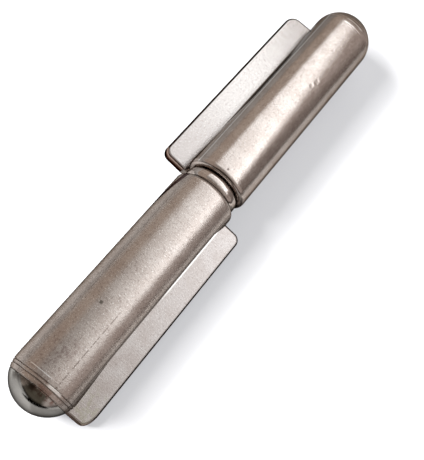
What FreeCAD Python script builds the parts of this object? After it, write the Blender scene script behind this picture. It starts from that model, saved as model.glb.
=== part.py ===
import FreeCAD, Part
import math
import os

from FreeCAD import Vector

# Weld-on barrel hinge in two halves, in millimetres.
# Each half is a round barrel with a flat leaf along one side, cut from one drawn profile.
# The hinge lies flat and fully open: its pin runs along Y, the lower half is on the -Y side
# with its leaf towards +X, and the upper half is on the +Y side with its leaf towards -X.
# The origin is under the middle of the hinge, on the surface that it lies on.

# Barrels
barrel_diameter = 20.0
lower_straight_length = 67.0
upper_straight_length = 70.4
dome_height = 9.4
joint_edge_radius = 1.5
bore_diameter = 10.0

# End caps, whose domes carry on from the rounded ends of the barrels
rim_length = 3.7
spigot_length = 10.0
spigot_chamfer = 0.6

# Turned lines round the closed end of each barrel, measured from the end of its straight part
first_groove_offset = 1.4
second_groove_offset = 2.3
groove_width = 0.4
groove_depth = 0.18
seam_width = 0.3
seam_depth = 0.15

# Leaves
leaf_reach = 17.7
leaf_thickness = 4.25
leaf_length = 70.4
leaf_corner_radius = 2.6
leaf_edge_radius = 0.9
root_fillet_radius = 0.6

# Flat ground on the side of each barrel beside its leaf: its distance from the axis, where it
# reaches its full depth behind the joint face, and how far the tool takes to run out there
# and, on both barrels alike, at the closed end
lower_flat_distance = 8.5
lower_flat_start = 9.0
lower_flat_run_out = 6.2
upper_flat_distance = 8.9
upper_flat_start = 34.0
upper_flat_run_out = 31.0
flat_far_run_out = 16.0
root_web_overlap = 0.2

# Ground ends of the leaves: how far each passes the joint face of its barrel, how far its far
# end runs out of square in degrees, and the rounding of its far corner along side and end
lower_overhang = 0.5
lower_slant = 0.0
lower_corner_run = 5.0
lower_corner_depth = 2.6
upper_overhang = 0.15
upper_slant = 9.0
upper_corner_run = 3.6
upper_corner_depth = 3.2

# Thrust ring between the barrels
ring_diameter = 17.6
ring_thickness = 4.1
ring_edge_radius = 1.7

# Pin
pin_seat_length = 36.0
pin_reach = 34.0
pin_chamfer = 1.2

# Fits
fixed_clearance = 0.01
running_clearance = 0.06
ring_end_clearance = 0.05

# Worked-out sizes
barrel_radius = barrel_diameter / 2
bore_radius = bore_diameter / 2
joint_gap = ring_thickness + 2 * ring_end_clearance
lower_total_length = lower_straight_length + dome_height
upper_total_length = upper_straight_length + dome_height
lower_joint_y = (lower_total_length - upper_total_length - joint_gap) / 2
upper_joint_y = lower_joint_y + joint_gap
leaf_bottom = -barrel_radius
leaf_top = leaf_bottom + leaf_thickness

AXIS = Vector(0, 1, 0)
UP = Vector(0, 0, 1)


def revolved(edges):
    """Turns a closed half-section, drawn in the XY plane with X as the radius, about Y."""
    face = Part.Face(Part.Wire(Part.__sortEdges__(edges)))
    return face.revolve(Vector(0, 0, 0), AXIS, 360)


def turned(points):
    """Turns a closed half-section with straight sides about Y."""
    corners = [Vector(radius, along, 0) for radius, along in points]
    closed = corners + corners[:1]
    return revolved([Part.LineSegment(a, b).toShape() for a, b in zip(closed, closed[1:])])


def quarter_ellipse(start, corner, end):
    """A quarter of an ellipse from start to end, tangent to the sides that meet at corner."""
    curve = Part.BezierCurve()
    curve.setPoles([start, corner, end])
    curve.setWeight(2, math.sqrt(0.5))
    return curve.toShape()


def dome_radius(offset):
    """Radius of the domed end at a distance beyond the straight part of the barrel."""
    return barrel_radius * math.sqrt(1 - (offset / dome_height) ** 2)


def bullet(straight_length):
    """Solid outline of a barrel with its cap: joint face at y = 0, dome towards -Y."""
    round_x = barrel_radius - joint_edge_radius
    pole_y = -straight_length - dome_height
    middle = math.sqrt(0.5)
    face_end = Vector(round_x, 0, 0)
    side_start = Vector(barrel_radius, -joint_edge_radius, 0)
    edge_middle = Vector(
        round_x + joint_edge_radius * middle, joint_edge_radius * (middle - 1), 0)
    side_end = Vector(barrel_radius, -straight_length, 0)
    pole = Vector(0, pole_y, 0)
    return revolved([
        Part.LineSegment(Vector(0, 0, 0), face_end).toShape(),
        Part.Arc(face_end, edge_middle, side_start).toShape(),
        Part.LineSegment(side_start, side_end).toShape(),
        quarter_ellipse(side_end, Vector(barrel_radius, pole_y, 0), pole),
        Part.LineSegment(pole, Vector(0, 0, 0)).toShape(),
    ])


def beyond(y):
    """A block that holds everything on the -Y side of a plane."""
    size = 4 * (barrel_radius + leaf_reach)
    return Part.makeBox(size, size, size, Vector(-size / 2, y - size, -size / 2))


def turned_line(y, radius, width, depth):
    """A V-shaped ring of the given width and depth at a surface of the given radius."""
    return turned([(radius - depth, y), (radius + depth, y - width), (radius + depth, y + width)])


def leaf(overhang, slant, corner_run, corner_depth):
    """Flat leaf towards +X, with rounded corners and edges, from the axis plane outwards."""
    # The length is held half way along the part of the end that shows beside the barrel.
    held_x = (barrel_radius + leaf_reach) / 2
    lean = math.tan(math.radians(slant))
    inner_end = Vector(0, -leaf_length - held_x * lean, leaf_bottom)
    outer_end = Vector(leaf_reach, inner_end.y + leaf_reach * lean, leaf_bottom)
    along_end = (inner_end - outer_end).normalize()
    end_start = outer_end + along_end * corner_depth
    side_start = outer_end + AXIS * corner_run
    joint_corner = Vector(leaf_reach, overhang, leaf_bottom)
    side_end = joint_corner - AXIS * leaf_corner_radius
    joint_start = joint_corner - Vector(leaf_corner_radius, 0, 0)
    root = Vector(0, overhang, leaf_bottom)
    outline = [
        Part.LineSegment(inner_end, end_start).toShape(),
        quarter_ellipse(end_start, outer_end, side_start),
        Part.LineSegment(side_start, side_end).toShape(),
        quarter_ellipse(side_end, joint_corner, joint_start),
        Part.LineSegment(joint_start, root).toShape(),
        Part.LineSegment(root, inner_end).toShape(),
    ]
    slab = Part.Face(Part.Wire(outline)).extrude(UP * leaf_thickness)
    rims = []
    for edge in slab.Edges:
        middle = edge.CenterOfMass
        flat = edge.BoundBox.ZLength < leaf_thickness / 2
        if flat and middle.x > 0.001:
            rims.append(edge)
    return slab.makeFillet(leaf_edge_radius, rims)


def flat_cutter(distance, start, run_out):
    """What the tool takes off a barrel beside its leaf, with a run-out at each end."""
    outside = 2 * barrel_radius
    far_y = -leaf_length
    run_out_y = run_out - start
    plan = [(distance, far_y + flat_far_run_out), (distance, -start),
            (barrel_radius, run_out_y), (outside, run_out_y), (outside, far_y),
            (barrel_radius, far_y)]
    corners = [Vector(x, y, leaf_top) for x, y in plan]
    face = Part.Face(Part.makePolygon(corners + corners[:1]))
    return face.extrude(UP * (barrel_radius - leaf_top))


def root_fillet(straight_length, flat_distance):
    """Web that carries the flat down to the leaf, and its hollow fillet there, along Y."""
    radius = root_fillet_radius
    centre = Vector(flat_distance + radius, 0, leaf_top + radius)
    on_flat = centre - Vector(radius, 0, 0)
    on_leaf = centre - UP * radius
    deepest = centre - Vector(radius, 0, radius) * math.sqrt(0.5)
    inner_x = flat_distance - 3 * radius
    leaf_middle = (leaf_bottom + leaf_top) / 2
    flat_low_z = -math.sqrt(barrel_radius ** 2 - flat_distance ** 2)
    web_top = max(flat_low_z, on_flat.z) + root_web_overlap
    path = [on_leaf, Vector(on_leaf.x, 0, leaf_middle), Vector(inner_x, 0, leaf_middle),
            Vector(inner_x, 0, web_top), Vector(flat_distance, 0, web_top), on_flat]
    edges = [Part.Arc(on_flat, deepest, on_leaf).toShape()]
    edges += [Part.LineSegment(a, b).toShape() for a, b in zip(path, path[1:])]
    face = Part.Face(Part.Wire(edges))
    far_end = min(leaf_length - leaf_edge_radius, straight_length)
    face.translate(Vector(0, -far_end, 0))
    return face.extrude(Vector(0, far_end - joint_edge_radius, 0))


def knuckle(straight_length, leaf_ends, flat_run):
    """Barrel and leaf of one half, joint face at y = 0 and leaf towards +X."""
    overhang, slant, corner_run, corner_depth = leaf_ends
    flat_distance, flat_start, flat_run_out = flat_run
    seam_y = -straight_length - rim_length
    barrel = bullet(straight_length).cut(beyond(seam_y))
    for offset in (first_groove_offset, second_groove_offset):
        barrel = barrel.cut(turned_line(
            -straight_length - offset, dome_radius(offset), groove_width, groove_depth))
    barrel = barrel.cut(turned_line(seam_y, dome_radius(rim_length), seam_width, seam_depth))
    barrel = barrel.cut(flat_cutter(flat_distance, flat_start, flat_run_out))
    # The barrel's joint face is cut back behind the end of the leaf.
    facing = Part.makeBox(barrel_radius, overhang, leaf_thickness, Vector(0, 0, leaf_bottom))
    flat = leaf(overhang, slant, corner_run, corner_depth).cut(facing)
    body = barrel.fuse(flat).fuse(root_fillet(straight_length, flat_distance))
    bore = Part.makeCylinder(bore_radius, -seam_y, Vector(0, seam_y, 0), AXIS)
    return body.cut(bore).removeSplitter()


def end_cap(straight_length):
    """Polished dome with a spigot that fills the end of the bore."""
    seam_y = -straight_length - rim_length
    dome = bullet(straight_length).common(beyond(seam_y))
    dome = dome.cut(turned_line(seam_y, dome_radius(rim_length), seam_width, seam_depth))
    spigot_radius = bore_radius - fixed_clearance
    tip_y = seam_y + spigot_length
    spigot = turned([
        (0, seam_y), (spigot_radius, seam_y), (spigot_radius, tip_y - spigot_chamfer),
        (spigot_radius - spigot_chamfer, tip_y), (0, tip_y)])
    return dome.fuse(spigot)


def hinge_pin():
    """Pin with its thicker end fixed in the lower barrel, joint face of that barrel at y = 0."""
    seat_radius = bore_radius - fixed_clearance
    running_radius = bore_radius - running_clearance
    tip_y = joint_gap + pin_reach
    return turned([
        (0, -pin_seat_length), (seat_radius - pin_chamfer, -pin_seat_length),
        (seat_radius, -pin_seat_length + pin_chamfer), (seat_radius, 0),
        (running_radius, 0), (running_radius, tip_y - pin_chamfer),
        (running_radius - pin_chamfer, tip_y), (0, tip_y)])


def thrust_ring():
    """Ring with a rounded rim that carries the upper barrel, lower barrel's face at y = 0."""
    low = ring_end_clearance
    high = low + ring_thickness
    rim = ring_diameter / 2
    middle = math.sqrt(0.5) * ring_edge_radius
    lower_centre = Vector(rim - ring_edge_radius, low + ring_edge_radius, 0)
    upper_centre = Vector(rim - ring_edge_radius, high - ring_edge_radius, 0)
    points = [Vector(bore_radius, low, 0), Vector(lower_centre.x, low, 0),
              Vector(rim, lower_centre.y, 0), Vector(rim, upper_centre.y, 0),
              Vector(upper_centre.x, high, 0), Vector(bore_radius, high, 0)]
    edges = [
        Part.LineSegment(points[0], points[1]).toShape(),
        Part.Arc(points[1], lower_centre + Vector(middle, -middle, 0), points[2]).toShape(),
        Part.LineSegment(points[2], points[3]).toShape(),
        Part.Arc(points[3], upper_centre + Vector(middle, middle, 0), points[4]).toShape(),
        Part.LineSegment(points[4], points[5]).toShape(),
        Part.LineSegment(points[5], points[0]).toShape(),
    ]
    return revolved(edges)


def placed(shape, joint_y, turned_round=False):
    """Lifts a piece onto the surface and moves its joint face to its place along Y."""
    shape = shape.copy()
    if turned_round:
        shape.rotate(Vector(0, 0, 0), UP, 180)
    shape.translate(Vector(0, joint_y, barrel_radius))
    return shape


lower_leaf_ends = (lower_overhang, lower_slant, lower_corner_run, lower_corner_depth)
upper_leaf_ends = (upper_overhang, upper_slant, upper_corner_run, upper_corner_depth)
lower_flat = (lower_flat_distance, lower_flat_start, lower_flat_run_out)
upper_flat = (upper_flat_distance, upper_flat_start, upper_flat_run_out)

pieces = {
    "lower_knuckle": placed(
        knuckle(lower_straight_length, lower_leaf_ends, lower_flat), lower_joint_y),
    "lower_end_cap": placed(end_cap(lower_straight_length), lower_joint_y),
    "hinge_pin": placed(hinge_pin(), lower_joint_y),
    "thrust_ring": placed(thrust_ring(), lower_joint_y),
    "upper_knuckle": placed(
        knuckle(upper_straight_length, upper_leaf_ends, upper_flat), upper_joint_y,
        turned_round=True),
    "upper_end_cap": placed(end_cap(upper_straight_length), upper_joint_y, turned_round=True),
}

os.makedirs("parts", exist_ok=True)
for name, shape in pieces.items():
    box = shape.BoundBox
    shape.exportStep("parts/" + name + ".step")
    print(name, "solids", len(shape.Solids), "valid", shape.isValid(),
          "volume", round(shape.Volume, 1),
          "x", round(box.XMin, 2), round(box.XMax, 2),
          "y", round(box.YMin, 2), round(box.YMax, 2),
          "z", round(box.ZMin, 2), round(box.ZMax, 2))
print("pin axis height", barrel_radius, "lower joint face y", round(lower_joint_y, 3),
      "upper joint face y", round(upper_joint_y, 3))
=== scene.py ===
# %% [markdown]
# A weld-on barrel hinge, lying open on a white table.
# The hinge itself comes finished from the CAD model: two barrels with their leaves, a thrust
# ring, a pin and two end caps. What this lesson adds is everything the eye reads as steel: the
# satin of tumbled stainless, the mirror of the polished end, the turned lines, and the studio
# that those surfaces reflect. Loading the frame first means that every number below is in
# metres, in the hinge's own axes: Y along the pin, Z up from the table.

import math

import bmesh
import bpy
from mathutils import Matrix, Vector


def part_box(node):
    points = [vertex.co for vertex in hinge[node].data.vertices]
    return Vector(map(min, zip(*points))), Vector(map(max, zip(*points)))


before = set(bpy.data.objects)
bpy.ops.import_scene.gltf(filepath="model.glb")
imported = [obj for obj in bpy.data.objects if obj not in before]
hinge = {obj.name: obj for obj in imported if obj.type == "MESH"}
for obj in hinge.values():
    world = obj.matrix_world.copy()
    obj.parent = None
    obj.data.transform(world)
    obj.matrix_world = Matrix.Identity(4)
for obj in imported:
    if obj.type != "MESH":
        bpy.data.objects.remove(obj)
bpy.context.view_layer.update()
MM = 0.001
print("hinge pieces:", sorted(hinge))

# %% [markdown]
# Most of the work below is done by a few sizes that are read off the hinge: where the pin's
# axis runs, where the joint is, and where the caps begin. Reading them from the model keeps
# every pattern in its place when a size changes. Only the top of the leaves has to be given,
# as a height from the pin's axis, since no piece ends there.

# %% Sizes read off the hinge
pin_low, pin_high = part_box("hinge_pin")
ring_low, ring_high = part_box("thrust_ring")
lower_low, lower_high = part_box("lower_knuckle")
axis_height = (pin_low.z + pin_high.z) / 2
lower_seam = lower_low.y
upper_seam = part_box("upper_knuckle")[1].y
lower_mouth = lower_high.y
upper_mouth = ring_high.y
joint_middle = (ring_low.y + ring_high.y) / 2
leaf_top = -5.75 * MM
print("pin axis at z =", round(axis_height / MM, 2), "mm")
print("cap seams at y =", round(lower_seam / MM, 2), "and", round(upper_seam / MM, 2), "mm")

# %% [markdown]
# Shader graphs are easier to read as sums than as boxes and wires. This small class holds one
# output of a node tree and turns +, -, * and / into Math nodes, so a mask can be written as
# `1 - edge * wear`. Two methods make the masks: `ramp` is a soft step, and `band` is a soft
# stripe. One function, `node`, makes every other kind of node: its settings go in first, then
# the values or wires of its sockets.

# %% Shader maths
class Wire:
    """One output in a node tree, with arithmetic."""

    def __init__(self, tree, socket):
        self.tree = tree
        self.socket = socket

    def math(self, operation, *others):
        maths = self.tree.nodes.new("ShaderNodeMath")
        maths.operation = operation
        for slot, value in zip(maths.inputs, (self, *others)):
            plug(self.tree, slot, value)
        return Wire(self.tree, maths.outputs[0])

    def __add__(self, other):
        return self.math("ADD", other)

    def __sub__(self, other):
        return self.math("SUBTRACT", other)

    def __mul__(self, other):
        return self.math("MULTIPLY", other)

    def __truediv__(self, other):
        return self.math("DIVIDE", other)

    def __rsub__(self, other):
        return (self * -1) + other

    __radd__ = __add__
    __rmul__ = __mul__

    def ramp(self, low, high):
        """0 below low, 1 above high, and a soft rise between them; low may be the larger."""
        step = self.tree.nodes.new("ShaderNodeMapRange")
        step.interpolation_type = "SMOOTHSTEP"
        falling = low > high
        for name, value in (("Value", self),
                            ("From Min", min(low, high)), ("From Max", max(low, high)),
                            ("To Min", 1.0 if falling else 0.0),
                            ("To Max", 0.0 if falling else 1.0)):
            plug(self.tree, step.inputs[name], value)
        return Wire(self.tree, step.outputs["Result"])

    def band(self, centre, half_width, soft):
        """1 within half_width of centre, fading to 0 over soft."""
        return (self - centre).math("ABSOLUTE").ramp(half_width + soft, half_width)


def plug(tree, slot, value):
    """Puts a number, colour or wire into a socket."""
    if isinstance(value, Wire):
        tree.links.new(value.socket, slot)
    else:
        slot.default_value = value


def strongest(first, *others):
    """The largest of several masks."""
    for other in others:
        first = first.math("MAXIMUM", other)
    return first


def node(tree, kind, settings=None, inputs=None, output=0):
    """Makes any node: settings are set first, then sockets by name or number."""
    made = tree.nodes.new("ShaderNode" + kind)
    for name, value in (settings or {}).items():
        setattr(made, name, value)
    for name, value in (inputs or {}).items():
        plug(tree, made.inputs[name], value)
    return Wire(tree, made.outputs[output])


print("shader maths ready")

# %% [markdown]
# The camera comes before the finishes, because a metal shows nothing but what it reflects, and
# that depends on where we stand. It looks down at the hinge from beyond the lower end, close
# enough that the near barrel looks wider than the far one. A camera in Blender looks along its
# own -Z, so its axes are built from three directions: forward to the point we look at, the
# direction that is to the right in the picture, and the one that follows from both, which is up.
# Their numbers were found by laying the hinge's outline over the one in the photograph.

# %% Camera
eye = Vector((-0.01915, -0.08104, 0.18258))
aim = Vector((0.00791, -0.01016, 0.00994))
forward = (aim - eye).normalized()
sight_right = Vector((0.72002, 0.595, 0.35712))
sight_up = sight_right.cross(forward).normalized()

camera_data = bpy.data.cameras.new("camera")
camera_data.lens = 50.72
camera_data.sensor_width = 36.0
camera_data.clip_start = 0.005
camera_data.clip_end = 20.0
camera = bpy.data.objects.new("camera", camera_data)
bpy.context.scene.collection.objects.link(camera)
camera.matrix_world = Matrix.Translation(eye) @ Matrix(
    (sight_right, sight_up, -forward)).transposed().to_4x4()
bpy.context.scene.camera = camera
print("camera to hinge:", round((aim - eye).length / MM), "mm")

# %% [markdown]
# Both barrels and leaves are stainless steel in the same satin state: drawn to shape, ground and
# then tumbled, so the surface is even, with a fine grain and very little direction. A metal has
# no colour of its own to scatter; its look is a tinted, slightly blurred mirror. So the finish
# is one Principled shader with Metallic at 1, a warm grey, a low roughness that wanders a
# little, and a shallow bump for the grain. Patterns that belong to a place, such as the
# mottling near the closed end, are laid out in hinge coordinates: distance along the pin, and
# the angle round the barrel, in degrees from the top. `side` is the distance from the axis
# towards the leaf, which is the other way on the upper half, so that one mask serves both.

# %% Places on the steel
def parts_of(tree, vector):
    """The x, y and z of a vector as three wires."""
    split = tree.nodes.new("ShaderNodeSeparateXYZ")
    plug(tree, split.inputs[0], vector)
    return [Wire(tree, socket) for socket in split.outputs]


def place(tree):
    """Where a point is, in the axes of its own object."""
    return node(tree, "TexCoord", output=3)


class Spot:
    """Wires that say where a point of the hinge is and which way its surface faces."""

    def __init__(self, tree):
        self.where = place(tree)
        self.x, self.y, z = parts_of(tree, self.where)
        self.height = z - axis_height
        self.over_leaf = self.height - leaf_top
        self.angle = self.x.math("ARCTAN2", self.height) * (180 / math.pi)
        self.upper = self.y.ramp(joint_middle - 0.1 * MM, joint_middle + 0.1 * MM)
        self.lower = 1 - self.upper
        self.side = self.x * (1 - self.upper * 2)
        self.off_barrel = self.side.ramp(9.5 * MM, 10.0 * MM)
        level_with_leaf = self.over_leaf.ramp(0.3 * MM, 0.2 * MM)
        self.on_leaf = self.side.ramp(9.2 * MM, 9.8 * MM) * level_with_leaf
        facing = parts_of(tree, node(tree, "TexCoord", output=1))
        self.facing_up = facing[2]
        self.facing_near_end = facing[1].ramp(-0.05, -0.3)

    def streak(self, low, high, soft):
        """1 between two places along the pin, fading over `soft` at both ends."""
        return self.y.ramp(low - soft, low) * self.y.ramp(high + soft, high)


print("places run from y =", round(lower_seam / MM, 1), "to", round(upper_seam / MM, 1), "mm")

# %% [markdown]
# The finish is built from layers, as the real surface is. First the bare metal, with three
# sizes of noise: clouds where the tumbling left it warmer or greyer, a speckle of small pits,
# and fine bright grains. A bump of the same patterns tilts the mirror a little, which breaks
# up the edges of the reflections. Rings from the lathe are noise that is stretched along the
# angle, so they run round the barrel.

# %% Bare metal
def mix(tree, factor, first, second):
    """Blends two colours."""
    made = tree.nodes.new("ShaderNodeMix")
    made.data_type = "RGBA"
    for number, value in ((0, factor), (6, first), (7, second)):
        if isinstance(value, tuple):
            value = (*value, 1.0)
        plug(tree, made.inputs[number], value)
    return Wire(tree, made.outputs[2])


def noise(tree, where, size, detail, rough):
    """Cloudy pattern whose features are about `size` metres across, from 0 to 1."""
    return node(tree, "TexNoise", {"noise_dimensions": "3D"},
                {"Vector": where, "Scale": 1 / size, "Detail": detail, "Roughness": rough})


def grain(tree, spot):
    """The patterns of the tumbled surface, from clouds to single grains."""
    ring_pitch = 0.32 * MM
    rings = node(tree, "CombineXYZ", None, {0: spot.angle * 0.06, 1: spot.y / ring_pitch, 2: 0.0})
    return {"turned": noise(tree, rings, 1.0, 2.0, 0.6),
            "speckle": noise(tree, spot.where, 0.6 * MM, 3.0, 0.65),
            "fine": noise(tree, spot.where, 0.3 * MM, 2.0, 0.6),
            "cloud": noise(tree, spot.where, 5.0 * MM, 3.0, 0.55),
            "patch": noise(tree, spot.where, 1.6 * MM, 3.0, 0.6)}


def bare_metal(tree, spot, pattern):
    """Colour of clean steel: a warm grey on the barrels and a cooler one on the ground leaves."""
    cloud = pattern["cloud"]
    barrel = mix(tree, cloud.ramp(0.35, 0.7), (0.49, 0.43, 0.395), (0.56, 0.505, 0.47))
    lower_leaf = mix(tree, cloud.ramp(0.3, 0.7), (0.455, 0.41, 0.39), (0.52, 0.485, 0.47))
    from_joint = spot.y.ramp(8.0 * MM, 30.0 * MM)
    upper_leaf = mix(tree, from_joint, (0.425, 0.395, 0.38), (0.47, 0.445, 0.43))
    leaf = mix(tree, spot.upper, lower_leaf, upper_leaf)
    colour = mix(tree, spot.on_leaf, barrel, leaf)
    strong = 1 - strongest(spot.on_leaf, spot.upper) * 0.35
    pits = pattern["speckle"].ramp(0.52, 0.66) * strong
    colour = mix(tree, pits * 0.62, colour, (0.25, 0.20, 0.18))
    grains = pattern["fine"].ramp(0.57, 0.70) * strong
    return mix(tree, grains * 0.75, colour, (0.90, 0.87, 0.84))


print("bare metal: clouds 5 mm, pits 0.6 mm, grains 0.3 mm")

# %% [markdown]
# Some dark lines are painted into the colour where the steel lies in shade or mirrors something
# dark:
# painted shade in the corner between leaf and barrel, up the wall of the upper flat and in the
# mouth of the joint, and a painted dark reflection along the crest of the lower flat and the rims
# of the leaves. Each place is a mask made from a distance or from the way the surface faces, and
# the darkest one wins. The corner and the mouths are lines at a known distance: from the pin's
# axis, from the top of the leaf, or from the end of the barrel.

# %% Painted shade in the corners
def corner_painted_dark(spot):
    """Painted shade in the leaf corner and up the upper flat's wall; painted dark reflection on
    the lower crest.
    """
    root = spot.side.band(9.3 * MM, 0.05 * MM, 0.25 * MM)
    root = root * spot.over_leaf.band(0.05 * MM, 0.2 * MM, 0.25 * MM)
    wall = spot.side.band(9.0 * MM, 0.15 * MM, 0.15 * MM) * spot.upper
    wall = wall * spot.over_leaf.ramp(6.0 * MM, 0.0) * spot.over_leaf.ramp(-0.3 * MM, 0.0)
    crest = spot.side.band(8.1 * MM, 0.08 * MM, 0.12 * MM) * spot.lower
    crest = crest * spot.height.ramp(3.6 * MM, 4.2 * MM)
    return strongest(root, wall * 0.8, crest * 0.4)


def mouth_painted_shade(spot):
    """A line of painted shade just inside the mouth of each barrel, at the joint."""
    upper_lip = spot.y.band(upper_mouth + 0.55 * MM, 0.05 * MM, 0.12 * MM) * spot.upper
    lower_lip = spot.y.band(lower_mouth - 0.45 * MM, 0.05 * MM, 0.12 * MM)
    return strongest(upper_lip * 0.6, lower_lip * 0.7) * (1 - spot.on_leaf)


print("scale in the corners: root, wall and crest of the flats, and both mouths")

# %% [markdown]
# The painted dark reflection on the rolled rims of the leaves is placed by their tilt: the top
# of a leaf faces straight up, its underside straight down, and everything between them is rim.
# On the sides away from the camera the rim hardly shows, so a strip of the flat beside it is
# darkened too, as a painted dark outline. The cut ends that face the lower closed end get a
# painted shade that is brown rather than black.

# %% Painted dark reflection on the rims
def rim(across, along, corner_across, corner_along, radius):
    """The strip inside a rounded corner and the two straight edges that meet in it."""
    out = across - corner_across
    on = along - corner_along
    out, on = out.math("MAXIMUM", 0.0), on.math("MAXIMUM", 0.0)
    return (out * out + on * on).math("SQRT").ramp(radius - 0.65 * MM, radius - 0.40 * MM)


def rim_painted_dark(spot):
    """Painted dark reflection along the rims of the leaves, and a painted dark outline beside
    them.
    """
    not_underside = spot.facing_up.ramp(-0.985, -0.94)
    rolled = spot.facing_up.ramp(0.97, 0.92) * not_underside
    rolled = rolled * (1 - spot.facing_up.band(0.0, 0.15, 0.25) * 0.4)
    foot = spot.over_leaf.ramp(-3.7 * MM, -3.1 * MM)
    rolled = rolled * (1 - spot.facing_near_end * foot)
    inner_line = spot.facing_up.band(0.985, 0.008, 0.006) * spot.lower * 0.5
    lower_edge = spot.facing_up.ramp(-0.1, -0.5) * not_underside
    corner = 2.6 * MM
    lower_rim = rim(spot.side, spot.y, 15.1 * MM, lower_mouth - corner, corner)
    slope = 0.158  # the upper leaf's far end is 9 degrees out of square
    from_joint = spot.y - upper_mouth + spot.side * slope
    upper_rim = rim(spot.side, from_joint, 14.5 * MM, 69.3 * MM, 3.2 * MM)
    return spot.off_barrel * strongest(
        rolled, inner_line, lower_edge, lower_rim * spot.lower * 0.85, upper_rim * spot.upper)


def near_end_painted_shade(tree, spot, colour):
    """Paints brown shade, darker towards the bottom, on the leaves' cut ends facing the lower
    closed end.
    """
    down_face = spot.over_leaf.ramp(-0.4 * MM, -2.4 * MM)
    brown = mix(tree, down_face, (0.42, 0.32, 0.28), (0.08, 0.055, 0.045))
    brown = mix(tree, spot.lower * 0.65, brown, (0.17, 0.085, 0.06))
    above_foot = 1 - spot.over_leaf.ramp(-3.3 * MM, -3.9 * MM)
    ends = spot.off_barrel * spot.facing_near_end * spot.facing_up.ramp(0.98, 0.5)
    return mix(tree, ends * above_foot, colour, brown)


print("scale on the rims of both leaves, and brown on their near ends")

# %% [markdown]
# The rest are the marks of use and handling that make this one hinge itself, with one painted
# reflection among them. The dark ones come first: a long scratch beside the highlight, a hair
# line that slants across the lower barrel, a patch of purple-brown mottling and two specks, and
# a dark wedge at the joint, which is a painted reflection of the upper leaf's end in the lower
# barrel. Each has its place in millimetres along the pin and in degrees round the barrel. Most
# of them fade out at both ends, as a scratch does, and a noise breaks the thin ones into dashes.

# %% Dark marks
def dark_marks(tree, spot, pattern, colour):
    """Scratches, mottling, two specks, and a painted reflection of the leaf end at the joint."""
    dashes = noise(tree, spot.where, 1.1 * MM, 1.0, 0.5).ramp(0.40, 0.52)
    scratch = spot.angle.band(11.5, 0.5, 0.6) * spot.streak(-71.7 * MM, -50.0 * MM, 4.0 * MM)
    colour = mix(tree, scratch * dashes * 0.8, colour, (0.20, 0.16, 0.14))
    hair_turn = 120.0  # degrees in a metre
    hair = (spot.angle + spot.y * hair_turn).band(-56.0, 0.5, 0.7)
    hair = hair * spot.streak(-62.0 * MM, -8.0 * MM, 6.0 * MM)
    colour = mix(tree, hair * dashes * 0.45, colour, (0.24, 0.19, 0.165))

    mottle = spot.angle.band(-18.0, 16.0, 10.0) * spot.streak(-71.0 * MM, -62.0 * MM, 3.0 * MM)
    blots = pattern["patch"].ramp(0.44, 0.54) * pattern["speckle"].ramp(0.40, 0.56)
    colour = mix(tree, mottle * blots * 0.55, colour, (0.27, 0.20, 0.185))

    # The painted reflection of the upper leaf's end lies at -72 degrees where y is -9.8 mm.
    leaf_end_reflection_turn = -2100.0  # degrees in a metre
    leaf_end_reflection = (spot.angle + 72.0 + (spot.y + 9.8 * MM) * leaf_end_reflection_turn).band(0.0, 4.5, 3.0)
    leaf_end_reflection = leaf_end_reflection * spot.streak(-20.0 * MM, -5.0 * MM, 2.0 * MM)
    colour = mix(tree, leaf_end_reflection * 0.85, colour, (0.085, 0.06, 0.065))

    speck = spot.angle.band(-20.3, 1.6, 2.0) * spot.y.band(-49.1 * MM, 0.25 * MM, 0.4 * MM)
    colour = mix(tree, speck * 0.8, colour, (0.10, 0.09, 0.07))
    speck = spot.angle.band(-7.2, 1.0, 1.4) * spot.y.band(2.6 * MM, 0.2 * MM, 0.3 * MM)
    return mix(tree, speck * 0.8, colour, (0.12, 0.09, 0.08))


print("dark marks: scratch, hair line, mottling, wedge and two specks")

# %% [markdown]
# Bright lines are painted highlights, where an edge or a groove would catch the lamp: along the
# turned lines near both closed ends, the lip of the lower mouth, the crest of the upper flat,
# and the leaf beside its corner. They lie over the dark marks. The stains come last, a trace of
# rust along the lower seam and an olive shade on the near end of the lower leaf.

# %% Painted highlights and stains
def painted_highlights(spot):
    """Painted highlights along the turned lines, the edges and the corner beside the leaf."""
    # Every mask here is a painted highlight; turned, bevel and far_turned name where it lies.
    turned = spot.y.band(-70.8 * MM, 0.05 * MM, 0.10 * MM) * spot.angle.band(-22.0, 14.0, 10.0)
    bevel = spot.y.band(-72.5 * MM, 0.3 * MM, 0.2 * MM) * spot.angle.band(13.0, 10.0, 6.0)
    far_turned = strongest(spot.y.band(70.9 * MM, 0.1 * MM, 0.2 * MM),
                           spot.y.band(72.6 * MM, 0.25 * MM, 0.3 * MM))
    far_turned = far_turned * spot.angle.band(-6.0, 14.0, 8.0)
    lip = spot.y.band(lower_mouth - 0.95 * MM, 0.05 * MM, 0.15 * MM)
    lip = lip * spot.angle.band(0.0, 40.0, 10.0)
    crest = spot.side.band(8.75 * MM, 0.05 * MM, 0.1 * MM) * spot.upper
    crest = crest * spot.height.ramp(3.6 * MM, 4.2 * MM)
    beside_root = spot.side.band(10.4 * MM, 0.15 * MM, 0.3 * MM) * spot.on_leaf * spot.lower
    beside_root = beside_root * spot.streak(-30.0 * MM, -6.0 * MM, 6.0 * MM)
    return strongest(turned, bevel, far_turned * 0.8, lip * 0.5, crest * 0.9, beside_root * 0.8)


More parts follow.
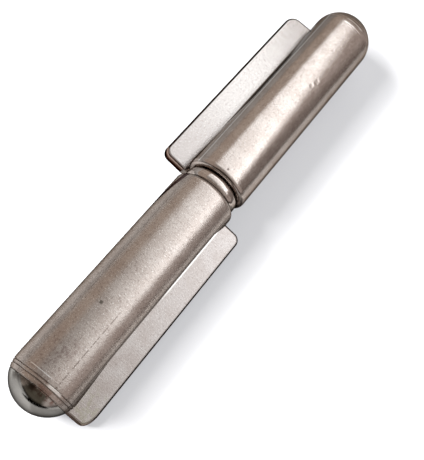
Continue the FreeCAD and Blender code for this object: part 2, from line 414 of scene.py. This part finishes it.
def stains(tree, spot, pattern, colour):
    """Rust along the lower seam and an olive shade on the near end of the lower leaf."""
    rust = spot.y.band(lower_seam + 0.5 * MM, 0.5 * MM, 0.6 * MM)
    rust = rust * spot.angle.band(0.0, 11.0, 8.0) * pattern["patch"].ramp(0.36, 0.50)
    colour = mix(tree, rust * 0.55, colour, (0.28, 0.15, 0.11))
    olive = spot.x.band(14.0 * MM, 2.0 * MM, 1.5 * MM)
    olive = olive * spot.streak(-75.0 * MM, -66.0 * MM, 3.0 * MM)
    olive = olive * pattern["patch"].ramp(0.45, 0.62)
    return mix(tree, olive * 0.35, colour, (0.40, 0.40, 0.28))


def marks(tree, spot, pattern, colour):
    """Adds scratches, a painted reflection, painted highlights and stains to the bare colour."""
    colour = dark_marks(tree, spot, pattern, colour)
    # The near-white colour here is painted highlight.
    colour = mix(tree, painted_highlights(spot), colour, (0.98, 0.97, 0.95))
    return stains(tree, spot, pattern, colour)


print("bright lines: turned, bevel, lip, crest and beside the corner; stains: rust and olive")

# %% [markdown]
# Now the layers are put together. Roughness wanders with the speckle, and it is lower on the
# upper barrel, whose highlight has a crisp edge, than on the lower one. Both are the same
# steel with the same process, so one function makes both, and a smoother kind for the ring.
# Two knocks on the upper barrel are pressed into the bump. The specular tint is low, because
# the edge of this steel goes dark where we see it at a glancing angle.

# %% Satin steel
def material_tree(name):
    """An empty material and its node tree."""
    material = bpy.data.materials.new(name)
    material.use_nodes = True
    material.node_tree.nodes.clear()
    return material, material.node_tree


def finish(tree, shader, kind="Material"):
    """Sends a shader to the output of its tree."""
    plug(tree, tree.nodes.new("ShaderNodeOutput" + kind).inputs[0], shader)


def satin_steel(name, rough_lower, rough_upper, uneven=1.0):
    """Tumbled stainless; uneven says how much its grain shows."""
    material, tree = material_tree(name)
    spot = Spot(tree)
    pattern = grain(tree, spot)
    colour = marks(tree, spot, pattern, bare_metal(tree, spot, pattern))
    # Painted shade and painted dark reflection in the corners, rims and mouths, then painted
    # brown shade on the near ends.
    painted_dark = strongest(corner_painted_dark(spot), rim_painted_dark(spot), mouth_painted_shade(spot))
    colour = mix(tree, painted_dark, colour, (0.050, 0.038, 0.032))
    colour = near_end_painted_shade(tree, spot, colour)

    speckle = pattern["speckle"] * (0.7 - spot.upper * 0.3)
    relief = pattern["turned"] * 0.9 + pattern["fine"] + speckle
    knock = spot.angle.band(11.0, 1.5, 3.5) * spot.y.band(45.5 * MM, 0.4 * MM, 0.9 * MM)
    second = spot.angle.band(7.0, 1.2, 3.0) * spot.y.band(43.2 * MM, 0.3 * MM, 0.7 * MM)
    relief = relief - strongest(knock, second) * 2.2
    bump = node(tree, "Bump", None, {
        "Strength": 1.0, "Distance": 0.022 * MM * uneven, "Height": relief})

    rough = rough_lower + spot.upper * (rough_upper - rough_lower)
    rough = rough + (pattern["speckle"] * 0.10 + pattern["cloud"] * 0.07) * uneven
    finish(tree, node(tree, "BsdfPrincipled", None, {
        "Base Color": colour, "Metallic": 1.0, "Roughness": rough, "Normal": bump,
        "Specular Tint": (0.10, 0.09, 0.08, 1.0)}))
    return material


satin = satin_steel("satin_stainless", 0.18, 0.05)
ring_steel = satin_steel("ring_stainless", 0.05, 0.05, 0.3)
for steel in (satin, ring_steel):
    print(steel.name, "has", len(steel.node_tree.nodes), "nodes")

# %% [markdown]
# The near cap alone is buffed to a mirror: its roughness is low, and no bump disturbs it. Its
# stains sit along the seam, where the buffing wheel didn't reach.

# %% Polished steel
def polished_steel(name):
    """Buffed dome with a few stains along the seam."""
    material, tree = material_tree(name)
    spot = Spot(tree)
    cloud = noise(tree, spot.where, 3.0 * MM, 3.0, 0.55)
    patch = noise(tree, spot.where, 1.2 * MM, 3.0, 0.6)
    colour = mix(tree, cloud.ramp(0.35, 0.7), (0.52, 0.51, 0.49), (0.60, 0.595, 0.575))
    near_seam = spot.y.ramp(lower_seam - 2.2 * MM, lower_seam - 0.3 * MM)
    rust = near_seam * spot.angle.band(4.0, 18.0, 12.0) * patch.ramp(0.40, 0.58)
    colour = mix(tree, rust * 0.75, colour, (0.20, 0.075, 0.05))
    soot = near_seam * spot.angle.band(-38.0, 22.0, 8.0) * patch.ramp(0.33, 0.48)
    colour = mix(tree, soot * 0.8, colour, (0.06, 0.045, 0.035))
    finish(tree, node(tree, "BsdfPrincipled", None, {
        "Base Color": colour, "Metallic": 1.0, "Roughness": 0.07 + cloud * 0.08,
        "Specular Tint": (0.08, 0.08, 0.08, 1.0)}))
    return material


polished = polished_steel("polished_stainless")
print(polished.name, "has", len(polished.node_tree.nodes), "nodes")

# %% [markdown]
# Every slot of a piece gets the piece's own finish. The far cap has the satin look of its
# barrel in the photograph, so the two share a finish. The ring shines more than the barrels
# do, so its steel is smoother.

# %% Finishes on the pieces
for piece, coat in (("lower_knuckle", satin), ("upper_knuckle", satin),
                    ("lower_end_cap", polished), ("upper_end_cap", satin),
                    ("hinge_pin", satin), ("thrust_ring", ring_steel)):
    slots = hinge[piece].material_slots
    for slot in slots:
        slot.material = coat
    print(piece, "slots:", len(slots), "finish:", coat.name)

# %% [markdown]
# The hinge lies on a plain white table. The table and the lamp panel that comes after it are
# both flat sheets, so one function makes them. The table is far larger than the hinge, so that
# the camera sees no edge of it.

# %% Table
def flat_sheet(name, corners):
    """A level sheet with the given corners, at height 0."""
    mesh = bpy.data.meshes.new(name)
    build = bmesh.new()
    build.faces.new([build.verts.new((x, y, 0.0)) for x, y in corners])
    build.to_mesh(mesh)
    build.free()
    made = bpy.data.objects.new(name, mesh)
    bpy.context.scene.collection.objects.link(made)
    return made


half = 1.5
table = flat_sheet("table", ((-half, -half), (half, -half), (half, half), (-half, half)))
print("table:", 2 * half, "m square")

# %% [markdown]
# The real table doesn't show in the steel as one even white. Right under the barrels it is
# painted dark, because hardly any light gets in there, and farther out there are painted shadows
# as well. Ambient Occlusion measures how closed in each point of the sheet is. The painted
# shadows farther out are laid out by their place on the table, and the darkest one wins.

# %% Dark parts of the table
white, tree = material_tree("white_table")
tx, ty, _ = parts_of(tree, place(tree))
open_sky = node(tree, "AmbientOcclusion", {"samples": 8}, {"Distance": 12 * MM}, output=1)
closed_in = open_sky.ramp(0.67, 0.46)
beside_joint = tx.ramp(-0.002, -0.008) * ty.band(-0.008, 0.012, 0.006)
under_barrels = closed_in * ty.ramp(-0.082, -0.070) * (1 - beside_joint * 0.7)
left_end = tx.ramp(-0.036, -0.054) * (0.7 - ty.ramp(0.0, 0.02) * 0.3)
left_near = tx.ramp(-0.018, -0.030) * (0.30 + ty.ramp(0.0, 0.01) * 0.28)
right_end = tx.ramp(0.12, 0.25) * 0.8
beside_leaf = ty.ramp(0.012, -0.004) * tx.ramp(0.080, 0.055) * tx.ramp(0.0, 0.01) * 0.6
in_front = ty.ramp(-0.078, -0.090) * (0.38 + tx.ramp(0.0, -0.03) * 0.12)
well_ahead = (tx + ty * 0.7).ramp(0.0, -0.05) * tx.ramp(-0.06, -0.02) * ty.ramp(-0.130, -0.170)
dark_parts = (left_end, right_end, left_near, beside_leaf, in_front, under_barrels, well_ahead)
dark = strongest(*dark_parts)
print("dark parts of the table:", len(dark_parts))

# %% [markdown]
# A photographer's white surface comes out pure white in the picture, because it is lit more
# than the hinge is. Here the same is done with Light Path. To the camera the sheet adds a
# little light of its own until it is just white, and its diffuse part stays, so that the
# hinge's shadow falls on it. To the steel it is a calm grey, with the painted shadows, a
# painted lighter patch beside the lower barrel and a bright strip of painted light, its own
# glow, to the right of the upper barrel.

# %% Table for the camera and for the steel
path = tree.nodes.new("ShaderNodeLightPath")
to_camera = Wire(tree, path.outputs["Is Camera Ray"])
to_steel = Wire(tree, path.outputs["Is Glossy Ray"])

pale = tx.ramp(0.05, 0.09) * ty.ramp(0.03, 0.0) * ty.ramp(-0.06, -0.03)
mirrored = mix(tree, pale, (0.31, 0.305, 0.30), (0.46, 0.45, 0.44))
mirrored = mix(tree, dark, mirrored, (0.0, 0.0, 0.0))
paint = mix(tree, to_steel, (0.35, 0.35, 0.355), mirrored)

right_of_upper = tx.ramp(0.010, 0.020) * ty.ramp(0.0, 0.02)
bounce = mix(tree, right_of_upper, (0.05, 0.04, 0.035), (0.16, 0.155, 0.155))
bounce = mix(tree, right_of_upper * tx.ramp(0.042, 0.030), bounce, (0.85, 0.83, 0.83))
bounce = mix(tree, strongest(closed_in, dark), bounce, (0.0, 0.0, 0.0))
own_light = mix(tree, to_camera, (0.0, 0.0, 0.0), (0.37, 0.38, 0.40))
own_light = mix(tree, to_steel, own_light, bounce)

diffuse = node(tree, "BsdfDiffuse", None, {"Color": paint})
glow = node(tree, "Emission", None, {"Color": own_light, "Strength": 1.0})
finish(tree, node(tree, "AddShader", None, {0: diffuse, 1: glow}))
table.data.materials.append(white)
print(white.name, "has", len(tree.nodes), "nodes")

# %% [markdown]
# The long bright band down each barrel is the mirror image of one lamp: a large panel hung
# level about 400 mm over the hinge. Its left edge gives the sharp left side of the band, and
# its far edge, which runs towards us from left to right, ends the band on the far barrel. The
# panel grows dimmer towards us, which is why the band on the near barrel is softer. It is a
# real sheet in the scene rather than a pattern in the sky, because at this distance the two
# barrels see it under slightly different angles.

# %% Lamp panel
panel_height = 0.41
left, right, near = -0.475, 0.470, -0.20
far_left, far_middle, far_right = 0.72, 0.405, 0.25
panel = flat_sheet("lamp_panel", (
    (left, near), (left, far_left), (0.0, far_middle), (right, far_right), (right, near)))
panel.location.z = panel_height
panel.visible_camera = False
lamp, tree = material_tree("lamp_panel")
px, py, _ = parts_of(tree, place(tree))
brightest = 3
level = 0.42 + py.ramp(-0.16, 0.31) * 1.55 + py.ramp(0.20, 0.40) * 0.5
level = level + px.math("MINIMUM", 0.13) * 1.9
level = level + (py.ramp(-0.05, 0.10) * 0.5 - 0.15) * px.ramp(0.12, 0.22)
level = level.math("MAXIMUM", 0.40)
hue = mix(tree, level.ramp(0.4, 1.6), (3.0, 2.86, 2.74), (2.94, 2.97, 3.0))
shine = mix(tree, level / brightest, (0.0, 0.0, 0.0), hue)
finish(tree, node(tree, "Emission", None, {"Color": shine, "Strength": 1.0}))
panel.data.materials.append(lamp)
print("panel:", round(right - left, 2), "m wide,", panel_height, "m up")

# %% [markdown]
# Around the panel there is only the room, and the steel shows it as a warm brown-grey, a
# little lighter to the right than to the left. It is a plain sky whose colour turns with
# direction: a lighter corner on the far left, a dark strip along the horizon on the right, and
# the dark side of the room where the photographer stands, which is the black patch in the
# polished cap.
#
# One more lamp hangs on the left, where it gives the hinge its broad soft shadow to the right.
# Steel would mirror that lamp as a white spot that the photograph doesn't have, so it is
# hidden from reflections.

# %% Studio
world = bpy.data.worlds.new("studio")
bpy.context.scene.world = world
world.use_nodes = True
tree = world.node_tree
tree.nodes.clear()
dx, dy, dz = parts_of(tree, node(tree, "TexCoord", output=0))
room = mix(tree, dx.ramp(-0.7, 0.7), (0.48, 0.40, 0.345), (0.54, 0.47, 0.44))
light_corner = dx.ramp(-0.5, -0.8) * dy.ramp(0.3, 0.5) * dz.ramp(0.0, 0.2)
room = mix(tree, light_corner, room, (0.58, 0.50, 0.44))
horizon = dx.ramp(0.5, 0.9) * dz.ramp(0.18, 0.04) * (1 - dy.ramp(0.3, 0.5) * 0.4)
room = mix(tree, horizon, room, (0.16, 0.13, 0.12))
dim_corner = dx.ramp(0.55, 0.8) * dy.ramp(0.25, 0.45) * dz.ramp(0.75, 0.35) * dz.ramp(0.0, 0.12)
room = mix(tree, dim_corner * 0.55, room, (0.10, 0.08, 0.075))
behind_us = dx.ramp(0.58, 0.36) * dx.ramp(-0.62, -0.45)
room = mix(tree, dy.ramp(-0.50, -0.75) * behind_us, room, (0.10, 0.085, 0.065))
low_behind_us = dy.ramp(-0.30, -0.50) * behind_us * dz.ramp(0.16, 0.0)
room = mix(tree, low_behind_us, room, (0.01, 0.008, 0.006))
finish(tree, node(tree, "Background", None, {"Color": room, "Strength": 1.0}), "World")

lamp_data = bpy.data.lights.new("side_lamp", "AREA")
lamp_data.shape = "RECTANGLE"
lamp_data.size = 0.30
lamp_data.size_y = 0.20
lamp_data.energy = 25.0
side_lamp = bpy.data.objects.new("side_lamp", lamp_data)
side_lamp.location = (-0.49, -0.22, 0.41)
side_lamp.rotation_euler = (-side_lamp.location).to_track_quat("-Z", "Y").to_euler()
side_lamp.visible_glossy = False
bpy.context.scene.collection.objects.link(side_lamp)
print("side lamp:", lamp_data.energy, "W")

# %% [markdown]
# The photograph has plain colours, with no film look laid over them. Standard shows the light of
# the scene as it is, so white paper comes out white and the grey of the steel keeps its tint. A
# filmic view would turn the paper grey and flatten the bright bands.

# %% Colour management
bpy.context.scene.view_settings.view_transform = "Standard"
print("view transform:", bpy.context.scene.view_settings.view_transform)
